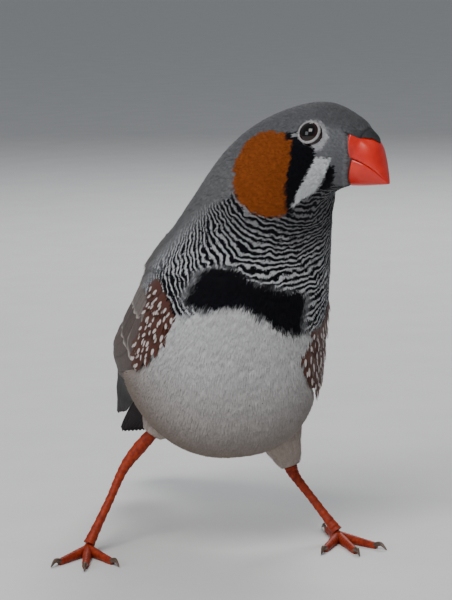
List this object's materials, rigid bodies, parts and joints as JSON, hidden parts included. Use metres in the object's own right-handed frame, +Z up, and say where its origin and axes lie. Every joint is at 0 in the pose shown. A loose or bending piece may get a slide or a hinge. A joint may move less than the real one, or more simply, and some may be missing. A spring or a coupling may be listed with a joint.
{
  "type": "zebra finch",
  "caption": "Life-size still model of a male zebra finch standing with splayed legs, head turned to its left, with a red bill, chestnut cheek, barred throat and white belly.",
  "frame": {"origin": "middle of the bird's bounding box, on the floor under its feet", "axes": "+Z up, -Y the way the body faces, +X the bird's left"},
  "size_m": [0.054, 0.0718, 0.0726],
  "materials": {
    "body_plumage": "soft matt white feathers of the belly, with a black breast band above",
    "barred_plumage": "soft matt grey feathers with fine wavy black bars",
    "head_plumage": "short smooth grey feathers, with a chestnut cheek and black and white face stripes",
    "tail_plumage": "smooth black-brown tail feathers",
    "wing_plumage": "smooth grey-brown wing feathers with paler edges",
    "bill_horn": "waxy red-orange horn, smooth with a soft gloss",
    "eye_gloss": "wet dark eye, very glossy",
    "leg_scales": "orange-red scaled skin, satin",
    "claw_horn": "dark brown horn, satin"
  },
  "bodies": {
    "root": {"torso": "body_plumage", "neck": "barred_plumage", "head": "head_plumage", "bill_upper": "bill_horn", "bill_lower": "bill_horn", "tail": "tail_plumage", "eye_left": "eye_gloss", "wing_left": "wing_plumage", "thigh_left": "body_plumage", "shank_left": "leg_scales", "foot_left": "leg_scales", "claw_left_1": "claw_horn", "claw_left_2": "claw_horn", "claw_left_3": "claw_horn", "claw_left_4": "claw_horn", "eye_right": "eye_gloss", "wing_right": "wing_plumage", "thigh_right": "body_plumage", "shank_right": "leg_scales", "foot_right": "leg_scales", "claw_right_1": "claw_horn", "claw_right_2": "claw_horn", "claw_right_3": "claw_horn", "claw_right_4": "claw_horn"}
  },
  "joints": []
}
